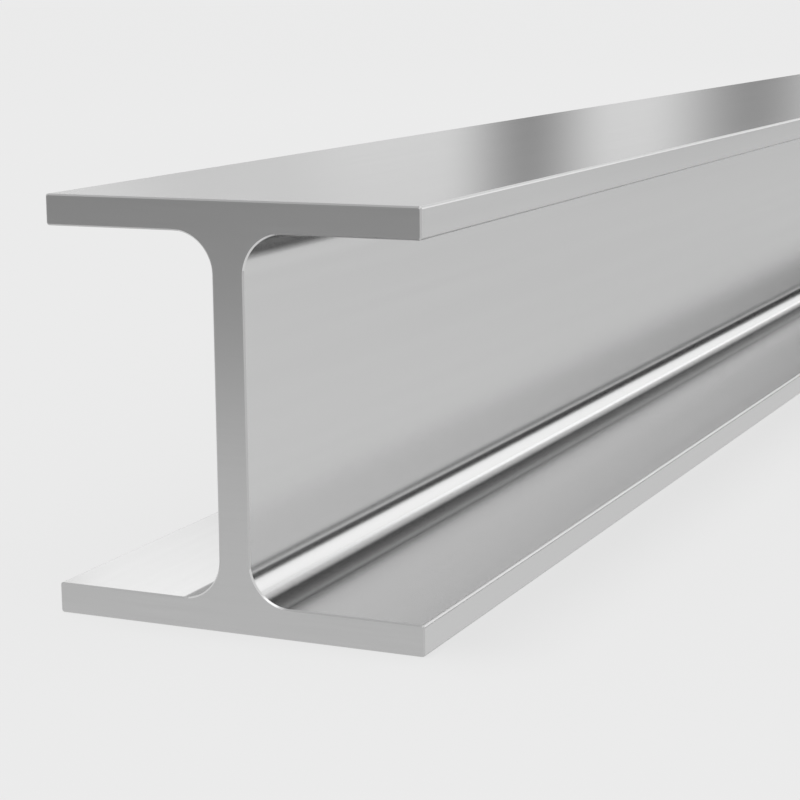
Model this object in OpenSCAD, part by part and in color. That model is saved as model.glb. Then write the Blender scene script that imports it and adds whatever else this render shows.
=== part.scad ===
// Rolled steel H-beam: one bar of wide-flange section, sawn square at both ends.
// Millimetres. The bar runs along X with its web upright. The bottom flange lies on Z = 0,
// and the origin is under the middle of the bar.

/* [Section] */
// Depth over both flanges
depth = 320; // [200:5:500]
// Width of each flange
flange_w = 303; // [180:1:420]
// Thickness of each flange
flange_t = 23.5; // [12:0.5:40]
// Thickness of the web
web_t = 25.8; // [10:0.1:40]
// Radius of the root, where the web runs out into a flange
root_r = 31.5; // [10:0.5:45]
// Radius that the rolls leave on the long edges of a flange
toe_r = 2; // [0.5:0.1:4]

/* [Bar] */
// Stock length between the sawn ends
length = 6000; // [1000:100:18000]
// Chamfer that takes the burr off each sawn end
end_chamfer = 1.2; // [0.2:0.1:3]

/* [Hidden] */
// Fineness of the circles
$fn = 96;
// Height of the bar's middle, and of each flange's middle above it
mid_z = depth / 2;
flange_z = mid_z - flange_t / 2;
// Centre of a root's arc, from the middle of the section
arc_y = web_t / 2 + root_r;
arc_z = mid_z - flange_t - root_r;

// A flat bar's plan: a rectangle of this width, as long as the bar, with the chamfer at its ends
module bar_plan(width) {
    end_x = length / 2;
    side_y = width / 2;
    polygon([
        [-end_x, side_y - end_chamfer],
        [-end_x, end_chamfer - side_y],
        [end_chamfer - end_x, -side_y],
        [end_x - end_chamfer, -side_y],
        [end_x, end_chamfer - side_y],
        [end_x, side_y - end_chamfer],
        [end_x - end_chamfer, side_y],
        [end_chamfer - end_x, side_y],
    ]);
}

// Section of one flange: a flat bar with rounded toes
module flange_section() {
    flat_w = flange_w - 2 * toe_r;
    flat_t = flange_t - 2 * toe_r;
    square([flat_w, flange_t], center = true);
    square([flange_w, flat_t], center = true);
    for (side = [-1, 1], face = [-1, 1])
        translate([side * flat_w / 2, face * flat_t / 2])
            circle(toe_r);
}

// One flange about its own middle: where its section, its side view and its plan meet
module flange() {
    intersection() {
        rotate([90, 0, 90])
            linear_extrude(length, center = true)
                flange_section();
        rotate([90, 0, 0])
            linear_extrude(flange_w, center = true)
                bar_plan(flange_t);
        linear_extrude(flange_t, center = true)
            bar_plan(flange_w);
    }
}

// The web about its own middle, carried on to the middle of each flange
module web() {
    linear_extrude(2 * flange_z, center = true)
        bar_plan(web_t);
}

// What a root's arc clears: a round bar's length, flared at each end by the chamfer
module root_hollow() {
    rotate([0, 90, 0])
        cylinder(h = length, r = root_r, center = true);
    for (end = [0, 1])
        mirror([end, 0, 0])
            translate([length / 2 - end_chamfer, 0, 0])
                rotate([0, 90, 0])
                    cylinder(h = 2 * end_chamfer, r1 = root_r, r2 = root_r + 2 * end_chamfer);
}

// The upper root on one side, from the middle of the web and of the flange out to the arc
module root() {
    difference() {
        translate([-length / 2, 0, arc_z])
            cube([length, arc_y, flange_z - arc_z]);
        translate([0, arc_y, arc_z])
            root_hollow();
    }
}

// The whole bar, rolled as one piece
module h_beam() {
    color([0.80, 0.80, 0.81])
        translate([0, 0, mid_z])
            union() {
                web();
                for (face = [0, 1])
                    mirror([0, 0, face]) {
                        translate([0, 0, flange_z])
                            flange();
                        for (side = [0, 1])
                            mirror([0, side, 0])
                                root();
                    }
            }
}

h_beam();
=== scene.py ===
"""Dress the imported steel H-beam and set it in a plain pale studio.

Metres, in the frame of the CAD model: the bar runs along X with its web upright, and its bottom flange
lies on Z = 0.
"""

import logging
import math
from dataclasses import dataclass, field
from enum import Enum
from typing import Any

import bmesh
import bpy
from mathutils import Matrix, Vector


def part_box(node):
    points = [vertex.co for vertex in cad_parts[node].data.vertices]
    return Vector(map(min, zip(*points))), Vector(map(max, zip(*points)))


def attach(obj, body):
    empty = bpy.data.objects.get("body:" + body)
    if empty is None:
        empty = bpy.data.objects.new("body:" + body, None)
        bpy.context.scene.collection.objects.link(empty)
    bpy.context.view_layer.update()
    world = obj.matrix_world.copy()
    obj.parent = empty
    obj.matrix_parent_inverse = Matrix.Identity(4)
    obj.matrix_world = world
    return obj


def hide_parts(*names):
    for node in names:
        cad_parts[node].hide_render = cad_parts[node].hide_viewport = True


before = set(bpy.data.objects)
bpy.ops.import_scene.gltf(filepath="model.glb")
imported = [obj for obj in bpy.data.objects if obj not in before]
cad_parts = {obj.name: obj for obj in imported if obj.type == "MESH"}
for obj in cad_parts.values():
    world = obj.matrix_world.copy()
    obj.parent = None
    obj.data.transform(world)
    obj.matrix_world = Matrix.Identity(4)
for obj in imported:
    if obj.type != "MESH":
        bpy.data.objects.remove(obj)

LOG = logging.getLogger("h_beam_scene")
MM = 0.001
BODY = "root"
# The mesh attributes that say where the roots get painted shade, and where they get a painted highlight.
PAINTED_SHADE_MARK = "painted_root_shade"
PAINTED_HIGHLIGHT_MARK = "painted_root_highlight"
# Nearly all of a noise's values lie between these two.
NOISE_LOW = 0.3
NOISE_HIGH = 0.7


def linear_colour(srgb_hex: str) -> tuple[float, float, float, float]:
    """Turn an sRGB hex colour into the linear colour that Blender's sockets take.

    Args:
        srgb_hex: Six hex digits after a hash sign.

    Returns:
        Linear red, green and blue, and an alpha of 1.
    """
    channels = [int(srgb_hex[start : start + 2], 16) / 255 for start in (1, 3, 5)]
    red, green, blue = (
        value / 12.92 if value <= 0.04045 else ((value + 0.055) / 1.055) ** 2.4 for value in channels
    )
    return red, green, blue, 1.0


def add_node(
    tree: bpy.types.NodeTree,
    kind: str,
    settings: dict[str, Any] | None = None,
    inputs: dict[str | int, Any] | None = None,
) -> bpy.types.Node:
    """Add one node to a tree, with its settings, its input values and its links.

    Args:
        tree: Node tree of a material or of the world.
        kind: Blender's name for the type of node.
        settings: Values of the node's own properties.
        inputs: For each input socket, by name or number, a value or the output socket that feeds it.

    Returns:
        The new node.
    """
    node = tree.nodes.new(kind)
    for name, value in (settings or {}).items():
        setattr(node, name, value)
    for socket, value in (inputs or {}).items():
        if isinstance(value, bpy.types.NodeSocket):
            tree.links.new(value, node.inputs[socket])
        else:
            node.inputs[socket].default_value = value
    return node


def empty_tree(owner: bpy.types.Material | bpy.types.World) -> bpy.types.NodeTree:
    """Give a material or a world an empty node tree, and return that tree."""
    owner.use_nodes = True
    owner.node_tree.nodes.clear()
    return owner.node_tree


class BeamSurface(Enum):
    """The bar's surfaces as they were made, and its rims of painted highlight, numbered as material slots.
    """

    ROLLED = 0
    WORN = 1
    SAWN = 2
    # The chamfers at the roots' ends, paler to paint a highlight along them.
    RIM_HIGHLIGHT = 3


@dataclass(frozen=True)
class Steel:
    """What the bar's finishes share: bare steel, uneven in colour and gloss, with a fine relief."""

    name: str
    pale: str
    deep: str
    edge_tint: str
    smoothest: float
    roughest: float

    def marks(
        self, tree: bpy.types.NodeTree, sizes: tuple[float, float, float], detail: float
    ) -> bpy.types.NodeSocket:
        """Draw uneven marks of a real size.

        Args:
            tree: The material's node tree.
            sizes: Length of the marks along the bar, across it and upwards.
            detail: How many finer layers the marks have.

        Returns:
            The socket that gives the marks' strength.
        """
        place = add_node(tree, "ShaderNodeTexCoord").outputs["Object"]
        scale = tuple(1 / size for size in sizes)
        stretched = add_node(tree, "ShaderNodeMapping", inputs={"Vector": place, "Scale": scale})
        noise = add_node(
            tree,
            "ShaderNodeTexNoise",
            inputs={"Vector": stretched.outputs["Vector"], "Scale": 1.0, "Detail": detail},
        )
        return noise.outputs["Fac"]

    def greys(self, tree: bpy.types.NodeTree, pattern: bpy.types.NodeSocket) -> bpy.types.NodeSocket:
        """Mix the deep grey and the pale grey by a pattern.

        Args:
            tree: The material's node tree.
            pattern: Strength of the marks.

        Returns:
            The socket that gives the colour.
        """
        mix = add_node(
            tree,
            "ShaderNodeMix",
            {"data_type": "RGBA"},
            {"Factor": pattern, "A": linear_colour(self.deep), "B": linear_colour(self.pale)},
        )
        return mix.outputs[2]

    def coat(
        self,
        tree: bpy.types.NodeTree,
        colour: bpy.types.NodeSocket,
        pattern: bpy.types.NodeSocket,
        height: bpy.types.NodeSocket,
        depth: float,
    ) -> None:
        """Put the metal together.

        Args:
            tree: The material's node tree.
            colour: The metal's colour.
            pattern: Marks that are smoother where they are strong.
            height: Marks that stand out as a relief.
            depth: Depth of that relief.
        """
        roughness = add_node(
            tree,
            "ShaderNodeMapRange",
            inputs={
                "Value": pattern,
                "From Min": NOISE_LOW,
                "From Max": NOISE_HIGH,
                "To Min": self.roughest,
                "To Max": self.smoothest,
            },
        )
        relief = add_node(
            tree, "ShaderNodeBump", inputs={"Strength": 1.0, "Distance": depth, "Height": height}
        )
        steel = add_node(
            tree,
            "ShaderNodeBsdfPrincipled",
            inputs={
                "Base Color": colour,
                "Metallic": 1.0,
                "Roughness": roughness.outputs["Result"],
                "Specular Tint": linear_colour(self.edge_tint),
                "Normal": relief.outputs["Normal"],
            },
        )
        add_node(tree, "ShaderNodeOutputMaterial", inputs={"Surface": steel.outputs["BSDF"]})


@dataclass(frozen=True)
class RolledSteel(Steel):
    """Carbon steel, hot rolled, blasted, then drawn over by the straightening rolls.

    That leaves a pale grey metal with a satin gloss, and streaks along the bar that are barely lighter or
    darker. Where the mesh is marked for it, the roots get painted shade, a darker grey, or a painted
    highlight, which is nearly white.
    """

    name: str = "satin rolled steel"
    pale: str = "#CECECE"
    deep: str = "#CCCCCC"
    edge_tint: str = "#EBEBEB"
    smoothest: float = 0.185
    roughest: float = 0.2
    # The painted shade in the roots: a darker grey where the mesh marks it.
    scale: str = "#979797"
    # The painted highlight: a nearly white strip in the lower roots, where the mesh marks it.
    painted_highlight: str = "#F4F4F4"
    streak_width: float = 9 * MM
    streak_length: float = 700 * MM
    # The real grain is a few hundredths of a millimetre wide, so it is drawn coarser to show at all.
    grain_width: float = 1.4 * MM
    grain_length: float = 60 * MM
    grain_depth: float = 0.001 * MM

    def material(self) -> bpy.types.Material:
        """Make the material.

        Returns:
            A metal whose colour, gloss and grain run along the bar.
        """
        material = bpy.data.materials.new(self.name)
        tree = empty_tree(material)
        streaks = self.marks(tree, (self.streak_length, self.streak_width, self.streak_width), detail=3.0)
        grain = self.marks(tree, (self.grain_length, self.grain_width, self.grain_width), detail=2.0)
        colour = self.greys(tree, streaks)
        # Darken the roots with painted shade and lighten a strip of the lower roots with a painted
        # highlight, as the mesh marks them.
        for mark, shade in ((PAINTED_SHADE_MARK, self.scale), (PAINTED_HIGHLIGHT_MARK, self.painted_highlight)):
            share = add_node(tree, "ShaderNodeAttribute", {"attribute_name": mark})
            mix = add_node(
                tree,
                "ShaderNodeMix",
                {"data_type": "RGBA"},
                {"Factor": share.outputs["Fac"], "A": colour, "B": linear_colour(shade)},
            )
            colour = mix.outputs[2]
        self.coat(tree, colour, streaks, grain, self.grain_depth)
        return material


@dataclass(frozen=True)
class SawnSteel(Steel):
    """The same steel where a band saw cut the bar to length.

    The cut is duller than the rolled sides, with fine lines where the teeth went across.
    """

    name: str = "sawn steel"
    pale: str = "#C0C0C0"
    deep: str = "#BEBEBE"
    edge_tint: str = "#F2F2F2"
    smoothest: float = 0.28
    roughest: float = 0.34
    line_pitch: float = 2.2 * MM
    line_length: float = 110 * MM
    line_depth: float = 0.002 * MM
    # Along the bar the lines change so slowly that they carry on over the chamfer.
    line_carry: float = 1000 * MM

    def material(self) -> bpy.types.Material:
        """Make the material.

        Returns:
            A metal with faint level lines across the end of the bar.
        """
        material = bpy.data.materials.new(self.name)
        tree = empty_tree(material)
        lines = self.marks(tree, (self.line_carry, self.line_length, self.line_pitch), detail=2.0)
        self.coat(tree, self.greys(tree, lines), lines, lines, self.line_depth)
        return material


@dataclass
class HBeam:
    """The bar itself: one piece of wide-flange section, sawn square at both ends."""

    node: str = "h_beam"
    slot: str = "steel"
    length: float = field(init=False)
    flange_width: float = field(init=False)
    depth: float = field(init=False)
    flange_thickness: float = 23.5 * MM
    web_thickness: float = 25.8 * MM
    root_radius: float = 31.5 * MM
    toe_radius: float = 2 * MM
    end_chamfer: float = 1.2 * MM
    root_segments: int = 32
    toe_segments: int = 2
    end_segments: int = 1
    # Faces that meet at less than this lie flush.
    flush_angle: float = math.radians(1)
    # A line is creased where it turns by more than this, and one face is this many times the other.
    crease_angle: float = math.radians(20)
    crease_ratio: float = 8.0
    # A face slants where its normal leans at least this far both sideways and upwards.
    slant: float = 0.1
    # How far a large face outweighs a small one in the shading that they share.
    flat_weight: int = 100
    # Share of painted shade at each turn of a root's arc, from 0 degrees at the web to 90 at the flange.
    lower_painted_shade: tuple[tuple[float, float], ...] = (
        (5.0, 0.0),
        (8.0, 0.65),
        (12.0, 0.65),
        (14.0, 0.0),
        (54.5, 0.0),
        (57.0, 1.0),
        (88.0, 1.0),
        (90.0, 0.0),
    )
    upper_painted_shade: tuple[tuple[float, float], ...] = ((23.0, 0.0), (36.0, 1.0), (88.0, 1.0), (90.0, 0.0))
    # Share of painted highlight, in the same way, on a strip of each lower root.
    lower_painted_highlight: tuple[tuple[float, float], ...] = ((42.0, 0.0), (47.0, 1.0), (56.0, 1.0), (57.0, 0.0))
    tolerance: float = 0.01 * MM
    rolled: RolledSteel = field(default_factory=RolledSteel)
    # Handling rubs the flanges' long edges dull, so they show as a soft pale line and not a sharp glint.
    worn: RolledSteel = field(
        default_factory=lambda: RolledSteel(name="rolled steel rubbed dull", smoothest=0.3, roughest=0.34)
    )
    sawn: SawnSteel = field(default_factory=SawnSteel)
    # Chamfers at the roots' ends: paler than the rolled steel, a painted highlight, and free of painted
    # shade.
    rim_highlight: RolledSteel = field(
        default_factory=lambda: RolledSteel(
            name="steel with painted rim highlight", pale="#D5D5D5", deep="#D3D3D3", scale="#D3D3D3", painted_highlight="#D5D5D5"
        )
    )

    def __post_init__(self) -> None:
        """Take the bar's overall sizes from the CAD node."""
        lowest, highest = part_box(self.node)
        self.length, self.flange_width, self.depth = highest - lowest

    def build(self) -> bpy.types.Object:
        """Model the bar and dress it.

        Returns:
            The finished bar, which takes the CAD node's place.
        """
        shape = bmesh.new()
        self.draw_web(shape)
        self.draw_out_flanges(shape)
        self.round_edges(shape)
        self.crease(shape)
        self.mark_surfaces(shape)
        self.mark_roots(shape)
        mesh = bpy.data.meshes.new(self.node)
        shape.to_mesh(mesh)
        shape.free()
        bar = bpy.data.objects.new("rolled_h_beam", mesh)
        bpy.context.scene.collection.objects.link(bar)
        self.dress(bar)
        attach(bar, BODY)
        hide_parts(self.node)
        return bar

    def draw_web(self, shape: bmesh.types.BMesh) -> None:
        """Start with a plate as thick as the web and as deep as the whole section.

        Args:
            shape: The empty bmesh that the plate goes into.
        """
        size = Matrix.Diagonal((self.length, self.web_thickness, self.depth, 1))
        place = Matrix.Translation((0, 0, self.depth / 2))
        bmesh.ops.create_cube(shape, size=1, matrix=place @ size)
        for height in (self.flange_thickness, self.depth - self.flange_thickness):
            bmesh.ops.bisect_plane(
                shape,
                geom=[*shape.verts, *shape.edges, *shape.faces],
                plane_co=(0, 0, height),
                plane_no=(0, 0, 1),
            )

    def draw_out_flanges(self, shape: bmesh.types.BMesh) -> None:
        """Draw the flanges out of the plate's top and bottom strips, and merge what then lies flush.

        Args:
            shape: The plate, cut at the height of each flange's inner face.
        """
        web_top = self.depth - self.flange_thickness
        strips = [
            face
            for face in shape.faces
            if abs(face.normal.y) > abs(face.normal.x) + abs(face.normal.z)
            and not self.flange_thickness < face.calc_center_median().z < web_top
        ]
        reach = (self.flange_width - self.web_thickness) / 2
        for strip in strips:
            outward = strip.normal * reach
            drawn = bmesh.ops.extrude_face_region(shape, geom=[strip])
            corners = [item for item in drawn["geom"] if isinstance(item, bmesh.types.BMVert)]
            bmesh.ops.translate(shape, verts=corners, vec=outward)
        bmesh.ops.delete(shape, geom=[face for face in strips if face.is_valid], context="FACES_ONLY")
        bmesh.ops.dissolve_limit(
            shape,
            angle_limit=self.flush_angle,
            use_dissolve_boundaries=False,
            verts=shape.verts[:],
            edges=shape.edges[:],
        )
        bmesh.ops.recalc_face_normals(shape, faces=shape.faces[:])

    def round_edges(self, shape: bmesh.types.BMesh) -> None:
        """Round the roots and the flange toes along the bar, then take the burr off each sawn end.

        Args:
            shape: The square-edged bar.
        """
        long_edges = [edge for edge in shape.edges if self.joins_ends(edge) < 0]
        roots = [edge for edge in long_edges if abs(edge.verts[0].co.y) < self.web_thickness]
        toes = [edge for edge in long_edges if abs(edge.verts[0].co.y) > self.web_thickness]
        self.bevel(shape, roots, self.root_radius, self.root_segments)
        self.bevel(shape, toes, self.toe_radius, self.toe_segments)
        rims = [edge for edge in shape.edges if self.joins_ends(edge) > 0]
        self.bevel(shape, rims, self.end_chamfer, self.end_segments)

    def joins_ends(self, edge: bmesh.types.BMEdge) -> int:
        """Say what an edge joins: -1 for one end to the other, 1 for an end to itself, 0 otherwise."""
        return self.at_end(edge.verts[0]) * self.at_end(edge.verts[1])

    def at_end(self, corner: bmesh.types.BMVert) -> int:
        """Say at which end a vertex lies: -1 at the near end, 1 at the far end, 0 elsewhere."""
        inside = abs(corner.co.x) < self.length / 2 - self.tolerance
        return 0 if inside else int(math.copysign(1, corner.co.x))

    def bevel(
        self, shape: bmesh.types.BMesh, edges: list[bmesh.types.BMEdge], radius: float, segments: int
    ) -> None:
        """Round some edges.

        Args:
            shape: The bmesh that the edges belong to.
            edges: The edges to round.
            radius: Radius of the rounding.
            segments: Number of facets in the rounding.
        """
        bmesh.ops.bevel(
            shape,
            geom=edges,
            offset=radius,
            offset_type="OFFSET",
            affect="EDGES",
            segments=segments,
            profile=0.5,
            material=-1,
            clamp_overlap=False,
        )

    def crease(self, shape: bmesh.types.BMesh) -> None:
        """Crease the lines where a side meets the narrow facets of its edge, to shade each on its own.

        Args:
            shape: The bar with its edges rounded.
        """
        for edge in shape.edges:
            smaller, larger = sorted(face.calc_area() for face in edge.link_faces)
            is_gentle = edge.calc_face_angle() < self.crease_angle
            edge.smooth = is_gentle or larger < self.crease_ratio * smaller

    def mark_surfaces(self, shape: bmesh.types.BMesh) -> None:
        """Shade every face smooth, and give it the material slot of its surface.

        Args:
            shape: The finished bar.
        """
        for face in shape.faces:
            face.smooth = True
            face.material_index = self.surface_of(face).value

    def mark_roots(self, shape: bmesh.types.BMesh) -> None:
        """Mark the roots with painted shade, and the lower roots with a strip of painted highlight.

        Args:
            shape: The finished bar.
        """
        for name in (PAINTED_SHADE_MARK, PAINTED_HIGHLIGHT_MARK):
            shape.verts.layers.float.new(name)
        # The layer of painted shade in the roots.
        scale = shape.verts.layers.float[PAINTED_SHADE_MARK]
        painted_highlight = shape.verts.layers.float[PAINTED_HIGHLIGHT_MARK]
        arc_middle = self.web_thickness / 2 + self.root_radius
        for corner in shape.verts:
            off_middle = arc_middle - abs(corner.co.y)
            if 0 < off_middle < self.root_radius:
                turn = math.degrees(math.acos(off_middle / self.root_radius))
                is_upper = corner.co.z > self.depth / 2
                corner[scale] = self.share_at(turn, self.upper_painted_shade if is_upper else self.lower_painted_shade)
                corner[painted_highlight] = 0.0 if is_upper else self.share_at(turn, self.lower_painted_highlight)

    def share_at(self, turn: float, profile: tuple[tuple[float, float], ...]) -> float:
        """Read a share off a profile, at a place on a root's arc.

        Args:
            turn: Degrees round the arc from the web.
            profile: Turns in rising order, each with its share.

        Returns:
            The share there, from 0 to 1, and 0 beyond the profile.
        """
        for (start, before), (end, after) in zip(profile, profile[1:]):
            if start <= turn <= end:
                return before + (after - before) * (turn - start) / (end - start)
        return 0.0

    def surface_of(self, face: bmesh.types.BMFace) -> BeamSurface:
        """Say how a face's surface was made.

        Args:
            face: A face of the finished bar.

        Returns:
            The rim of painted highlight for the chamfers at the ends of the roots, sawn for the rest of the
            ends, worn for the roundings of the toes, rolled for all else.
        """
        centre = face.calc_center_median()
        is_slanted = min(abs(face.normal.y), abs(face.normal.z)) > self.slant
        is_at_toe = abs(centre.y) > self.flange_width / 2 - self.toe_radius
        if abs(centre.x) > self.length / 2 - self.end_chamfer:
            return BeamSurface.RIM_HIGHLIGHT if is_slanted and not is_at_toe else BeamSurface.SAWN
        return BeamSurface.WORN if is_slanted and is_at_toe else BeamSurface.ROLLED

    def dress(self, bar: bpy.types.Object) -> None:
        """Give the bar its steels, and keep its flat faces flat beside their rounded edges.

        Args:
            bar: The bar's object.
        """
        finishes = {
            BeamSurface.ROLLED: self.rolled,
            BeamSurface.WORN: self.worn,
            BeamSurface.SAWN: self.sawn,
            BeamSurface.RIM_HIGHLIGHT: self.rim_highlight,
        }
        for surface in BeamSurface:
            bar.data.materials.append(finishes[surface].material())
        flat = bar.modifiers.new("flat faces", "WEIGHTED_NORMAL")
        flat.mode = "FACE_AREA"
        flat.weight = self.flat_weight
        flat.keep_sharp = True


def direction(azimuth: float, elevation: float) -> Vector:
    """Give the unit vector of a bearing.

    Args:
        azimuth: Degrees from +X towards +Y.
        elevation: Degrees above the horizon.

    Returns:
        The unit vector.
    """
    turn = math.radians(azimuth)
    rise = math.radians(elevation)
    return Vector((math.cos(turn) * math.cos(rise), math.sin(turn) * math.cos(rise), math.sin(rise)))


@dataclass(frozen=True)
class Panel:
    """A panel beside the set.

    Its middle stands at an azimuth and a distance from the aim point. It faces along a bearing of its own,
    and is tipped back by some degrees.
    """

    name: str
    azimuth: float
    distance: float
    facing: float
    width: float
    bottom: float
    top: float
    tip: float = 0.0


@dataclass(frozen=True)
class Flag(Panel):
    """A grey card for the steel to mirror, thinning out towards its sides and its foot.

    Each fade is the share of the card's width or height over which it thins out.
    """

    shade: str = "#303030"
    side_fade: float = 0.01
    foot_fade: float = 0.01


@dataclass(frozen=True)
class Softbox(Panel):
    """A wide soft lamp that faces the bar."""

    radiance: float = 0.5


@dataclass
class Studio:
    """The pale set round the bar: floor, background, soft lamps and flags."""

    aim: Vector = field(default_factory=lambda: Vector((-2.6, -0.05, 0.0)))
    background: str = "#EBEBEB"
    floor_shade: str = "#E6E6E6"
    floor_reach: float = 60.0
    # Share of the floor's look that is its own glow, so that the bar's shadow on it stays faint.
    floor_glow: float = 0.88
    # How much brighter the steel mirrors the floor and the background than the lens sees them.
    mirrored_floor: float = 0.15
    mirrored_background: float = 0.075
    key_azimuth: float = 100.0
    key_elevation: float = 80.0
    key_spread: float = 16.0
    key_level: float = 1.75
    softboxes: tuple[Softbox, ...] = (
        Softbox("right_softbox", -15.2, 7.55, facing=-67.5, width=7.83, bottom=1.0, top=3.4, radiance=0.57),
        Softbox("left_softbox", 32.8, 8.05, facing=32.8, width=1.0, bottom=1.9, top=4.4, radiance=0.71),
        Softbox("far_softbox", 5, 12, facing=5, width=4.5, bottom=3.4, top=6.6, radiance=0.41),
        Softbox("top_softbox", 207, 2.0, facing=90, width=2.5, bottom=2.45, top=4.95, tip=90, radiance=0.7),
    )
    flags: tuple[Flag, ...] = (
        Flag(
            "low_flag",
            -15.2,
            7.55,
            facing=-67.5,
            width=7.83,
            bottom=0.0,
            top=1.0,
            shade="#181818",
            foot_fade=0.12,
        ),
        Flag("top_flag", 125.8, 2.0, facing=0, width=1.4, bottom=3.0, top=4.4, tip=90, shade="#CBCBCB"),
        Flag("front_flag", 150, 1.4, facing=150, width=3.0, bottom=0.0, top=0.7, shade="#AAAAAA"),
        Flag(
            "near_flag",
            32.1,
            6,
            facing=32.1,
            width=1.30,
            bottom=0.0,
            top=1.2,
            shade="#D3D3D3",
            side_fade=0.5,
        ),
        Flag(
            "left_flag",
            20.6,
            6,
            facing=20.6,
            width=0.64,
            bottom=0.0,
            top=1.5,
            shade="#8D8D8D",
            side_fade=0.5,
        ),
        Flag(
            "far_flag",
            12.92,
            6,
            facing=12.9,
            width=0.8,
            bottom=0.0,
            top=1.5,
            shade="#8F8F8F",
            side_fade=0.5,
        ),
    )

    def build(self) -> None:
        """Make the floor, the background, the lamps and the flags."""
        self.light_background()
        self.lay_floor()
        self.light_key()
        for softbox in self.softboxes:
            self.hang(softbox)
        for flag in self.flags:
            self.stand(flag)

    def light_background(self) -> None:
        """Make the world an even pale grey, a little brighter to the steel than to the lens."""
        world = bpy.data.worlds.new("pale_studio")
        bpy.context.scene.world = world
        tree = empty_tree(world)
        path = add_node(tree, "ShaderNodeLightPath")
        brightness = add_node(
            tree,
            "ShaderNodeMath",
            {"operation": "MULTIPLY_ADD"},
            {0: path.outputs["Is Glossy Ray"], 1: self.mirrored_background, 2: 1.0},
        )
        glow = add_node(
            tree,
            "ShaderNodeBackground",
            inputs={"Color": linear_colour(self.background), "Strength": brightness.outputs["Value"]},
        )
        add_node(tree, "ShaderNodeOutputWorld", inputs={"Surface": glow.outputs["Background"]})

    def lay_floor(self) -> None:
        """Lay the floor: a pale card that takes a faint shadow, and that the steel mirrors bright."""
        material = bpy.data.materials.new("pale card floor")
        tree = empty_tree(material)
        path = add_node(tree, "ShaderNodeLightPath")
        mirrored = add_node(
            tree,
            "ShaderNodeMath",
            {"operation": "MAXIMUM"},
            {0: path.outputs["Is Glossy Ray"], 1: path.outputs["Is Transmission Ray"]},
        )
        share = add_node(
            tree,
            "ShaderNodeMath",
            {"operation": "MULTIPLY_ADD"},
            {0: path.outputs["Is Camera Ray"], 1: self.floor_glow, 2: mirrored.outputs["Value"]},
        )
        card = add_node(tree, "ShaderNodeBsdfDiffuse", inputs={"Color": linear_colour(self.floor_shade)})
        brightness = add_node(
            tree,
            "ShaderNodeMath",
            {"operation": "MULTIPLY_ADD"},
            {0: path.outputs["Is Glossy Ray"], 1: self.mirrored_floor, 2: 1.0},
        )
        glow = add_node(
            tree,
            "ShaderNodeEmission",
            inputs={"Color": linear_colour(self.floor_shade), "Strength": brightness.outputs["Value"]},
        )
        mix = add_node(
            tree,
            "ShaderNodeMixShader",
            inputs={0: share.outputs["Value"], 1: card.outputs["BSDF"], 2: glow.outputs["Emission"]},
        )
        add_node(tree, "ShaderNodeOutputMaterial", inputs={"Surface": mix.outputs["Shader"]})
        shape = bmesh.new()
        bmesh.ops.create_grid(shape, x_segments=1, y_segments=1, size=self.floor_reach)
        self.place(shape, "floor", material)

    def light_key(self) -> None:
        """Light the floor from almost overhead, so that the bar's shadow lies close beside its foot."""
        lamp = bpy.data.lights.new("key_lamp", "SUN")
        lamp.energy = self.key_level
        lamp.angle = math.radians(self.key_spread)
        lamp_object = bpy.data.objects.new("key_lamp", lamp)
        bpy.context.scene.collection.objects.link(lamp_object)
        lamp_object.rotation_mode = "QUATERNION"
        ray = -direction(self.key_azimuth, self.key_elevation)
        lamp_object.rotation_quaternion = ray.to_track_quat("-Z", "Y")
        lamp_object.visible_glossy = False

    def middle(self, panel: Panel) -> Vector:
        """Give the point where a panel's middle stands."""
        where = self.aim + direction(panel.azimuth, 0) * panel.distance
        where.z = (panel.bottom + panel.top) / 2
        return where

    def hang(self, softbox: Softbox) -> None:
        """Hang a softbox so that it faces the bar.

        Args:
            softbox: Where it hangs, its size and how bright its face is.
        """
        lamp = bpy.data.lights.new(softbox.name, "AREA")
        lamp.shape = "RECTANGLE"
        lamp.size = softbox.width
        lamp.size_y = softbox.top - softbox.bottom
        lamp.energy = softbox.radiance * math.pi * lamp.size * lamp.size_y
        lamp_object = bpy.data.objects.new(softbox.name, lamp)
        bpy.context.scene.collection.objects.link(lamp_object)
        lamp_object.location = self.middle(softbox)
        lamp_object.rotation_mode = "QUATERNION"
        ray = -direction(softbox.facing, softbox.tip)
        lamp_object.rotation_quaternion = ray.to_track_quat("-Z", "Y")

    def stand(self, flag: Flag) -> None:
        """Stand a flag beside the set, where only the steel's reflections show it.

        Args:
            flag: Where it stands, its size and its shade.
        """
        shape = bmesh.new()
        shape.loops.layers.uv.new("card")
        size = Matrix.Diagonal((flag.top - flag.bottom, flag.width, 1, 1))
        upright = Matrix.Rotation(math.radians(90 - flag.tip), 4, "Y")
        facing = Matrix.Rotation(math.radians(flag.facing), 4, "Z")
        where = Matrix.Translation(self.middle(flag))
        bmesh.ops.create_grid(shape, x_segments=1, y_segments=1, size=0.5, calc_uvs=True)
        bmesh.ops.transform(shape, matrix=where @ facing @ upright @ size, verts=shape.verts[:])
        card = self.place(shape, flag.name, self.flag_material(flag))
        card.visible_camera = False
        card.visible_diffuse = False
        card.visible_shadow = False

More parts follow.
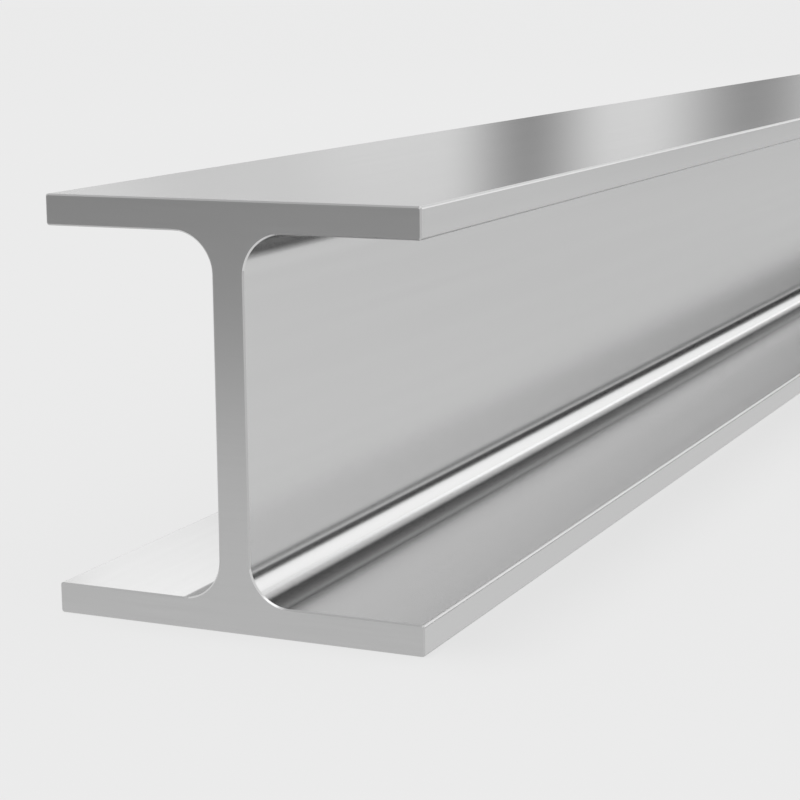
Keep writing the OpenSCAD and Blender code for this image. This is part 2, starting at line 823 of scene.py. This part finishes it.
    def flag_material(self, flag: Flag) -> bpy.types.Material:
        """Make a flag's material.

        Args:
            flag: The flag's shade, and how much of it thins out.

        Returns:
            A material of one shade that turns clear towards the card's sides and foot.
        """
        material = bpy.data.materials.new(flag.name)
        tree = empty_tree(material)
        place = add_node(
            tree,
            "ShaderNodeSeparateXYZ",
            inputs={"Vector": add_node(tree, "ShaderNodeTexCoord").outputs["UV"]},
        )
        from_middle = add_node(
            tree, "ShaderNodeMath", {"operation": "SUBTRACT"}, {0: place.outputs["Y"], 1: 0.5}
        )
        off_middle = add_node(
            tree, "ShaderNodeMath", {"operation": "ABSOLUTE"}, {0: from_middle.outputs["Value"]}
        )
        off_side = add_node(
            tree,
            "ShaderNodeMapRange",
            {"interpolation_type": "SMOOTHSTEP"},
            {"Value": off_middle.outputs["Value"], "From Min": 0.5, "From Max": 0.5 - flag.side_fade},
        )
        off_foot = add_node(
            tree,
            "ShaderNodeMapRange",
            {"interpolation_type": "SMOOTHSTEP"},
            {"Value": place.outputs["X"], "From Min": 1.0, "From Max": 1.0 - flag.foot_fade},
        )
        cover = add_node(
            tree,
            "ShaderNodeMath",
            {"operation": "MULTIPLY"},
            {0: off_side.outputs["Result"], 1: off_foot.outputs["Result"]},
        )
        clear = add_node(tree, "ShaderNodeBsdfTransparent")
        card = add_node(
            tree, "ShaderNodeEmission", inputs={"Color": linear_colour(flag.shade), "Strength": 1.0}
        )
        mix = add_node(
            tree,
            "ShaderNodeMixShader",
            inputs={0: cover.outputs["Value"], 1: clear.outputs["BSDF"], 2: card.outputs["Emission"]},
        )
        add_node(tree, "ShaderNodeOutputMaterial", inputs={"Surface": mix.outputs["Shader"]})
        return material

    def place(
        self, shape: bmesh.types.BMesh, name: str, material: bpy.types.Material
    ) -> bpy.types.Object:
        """Put a piece of the set into the scene.

        Args:
            shape: The piece's bmesh, which is freed.
            name: The piece's name.
            material: The piece's material.

        Returns:
            The piece's object.
        """
        mesh = bpy.data.meshes.new(name)
        shape.to_mesh(mesh)
        shape.free()
        mesh.materials.append(material)
        piece = bpy.data.objects.new(name, mesh)
        bpy.context.scene.collection.objects.link(piece)
        return piece


@dataclass(frozen=True)
class StudioCamera:
    """A long lens low beside the near end of the bar, looking along it."""

    place: tuple[float, float, float] = (-4.3457, -0.7413, 0.4649)
    azimuth: float = 24.277
    fall: float = 10.744
    roll: float = 0.539
    lens: float = 97.19
    sensor: float = 36.0

    def build(self) -> None:
        """Make the camera and look through it."""
        lens = bpy.data.cameras.new("studio_camera")
        lens.lens = self.lens
        lens.sensor_width = self.sensor
        camera = bpy.data.objects.new("studio_camera", lens)
        bpy.context.scene.collection.objects.link(camera)
        turn = direction(self.azimuth, -self.fall).to_track_quat("-Z", "Y")
        roll = Matrix.Rotation(math.radians(-self.roll), 4, "Z")
        camera.matrix_world = Matrix.Translation(self.place) @ turn.to_matrix().to_4x4() @ roll
        bpy.context.scene.camera = camera


def main() -> None:
    """Build the bar and the studio round it."""
    logging.basicConfig(level=logging.INFO, format="%(message)s")
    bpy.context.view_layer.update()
    bpy.context.scene.view_settings.view_transform = "Standard"
    bar = HBeam().build()
    LOG.info("%s: %d faces", bar.name, len(bar.data.polygons))
    Studio().build()
    LOG.info("studio: floor, background, softboxes and flags")
    StudioCamera().build()
    LOG.info("camera: %s", bpy.context.scene.camera.name)


if __name__ == "__main__":
    main()
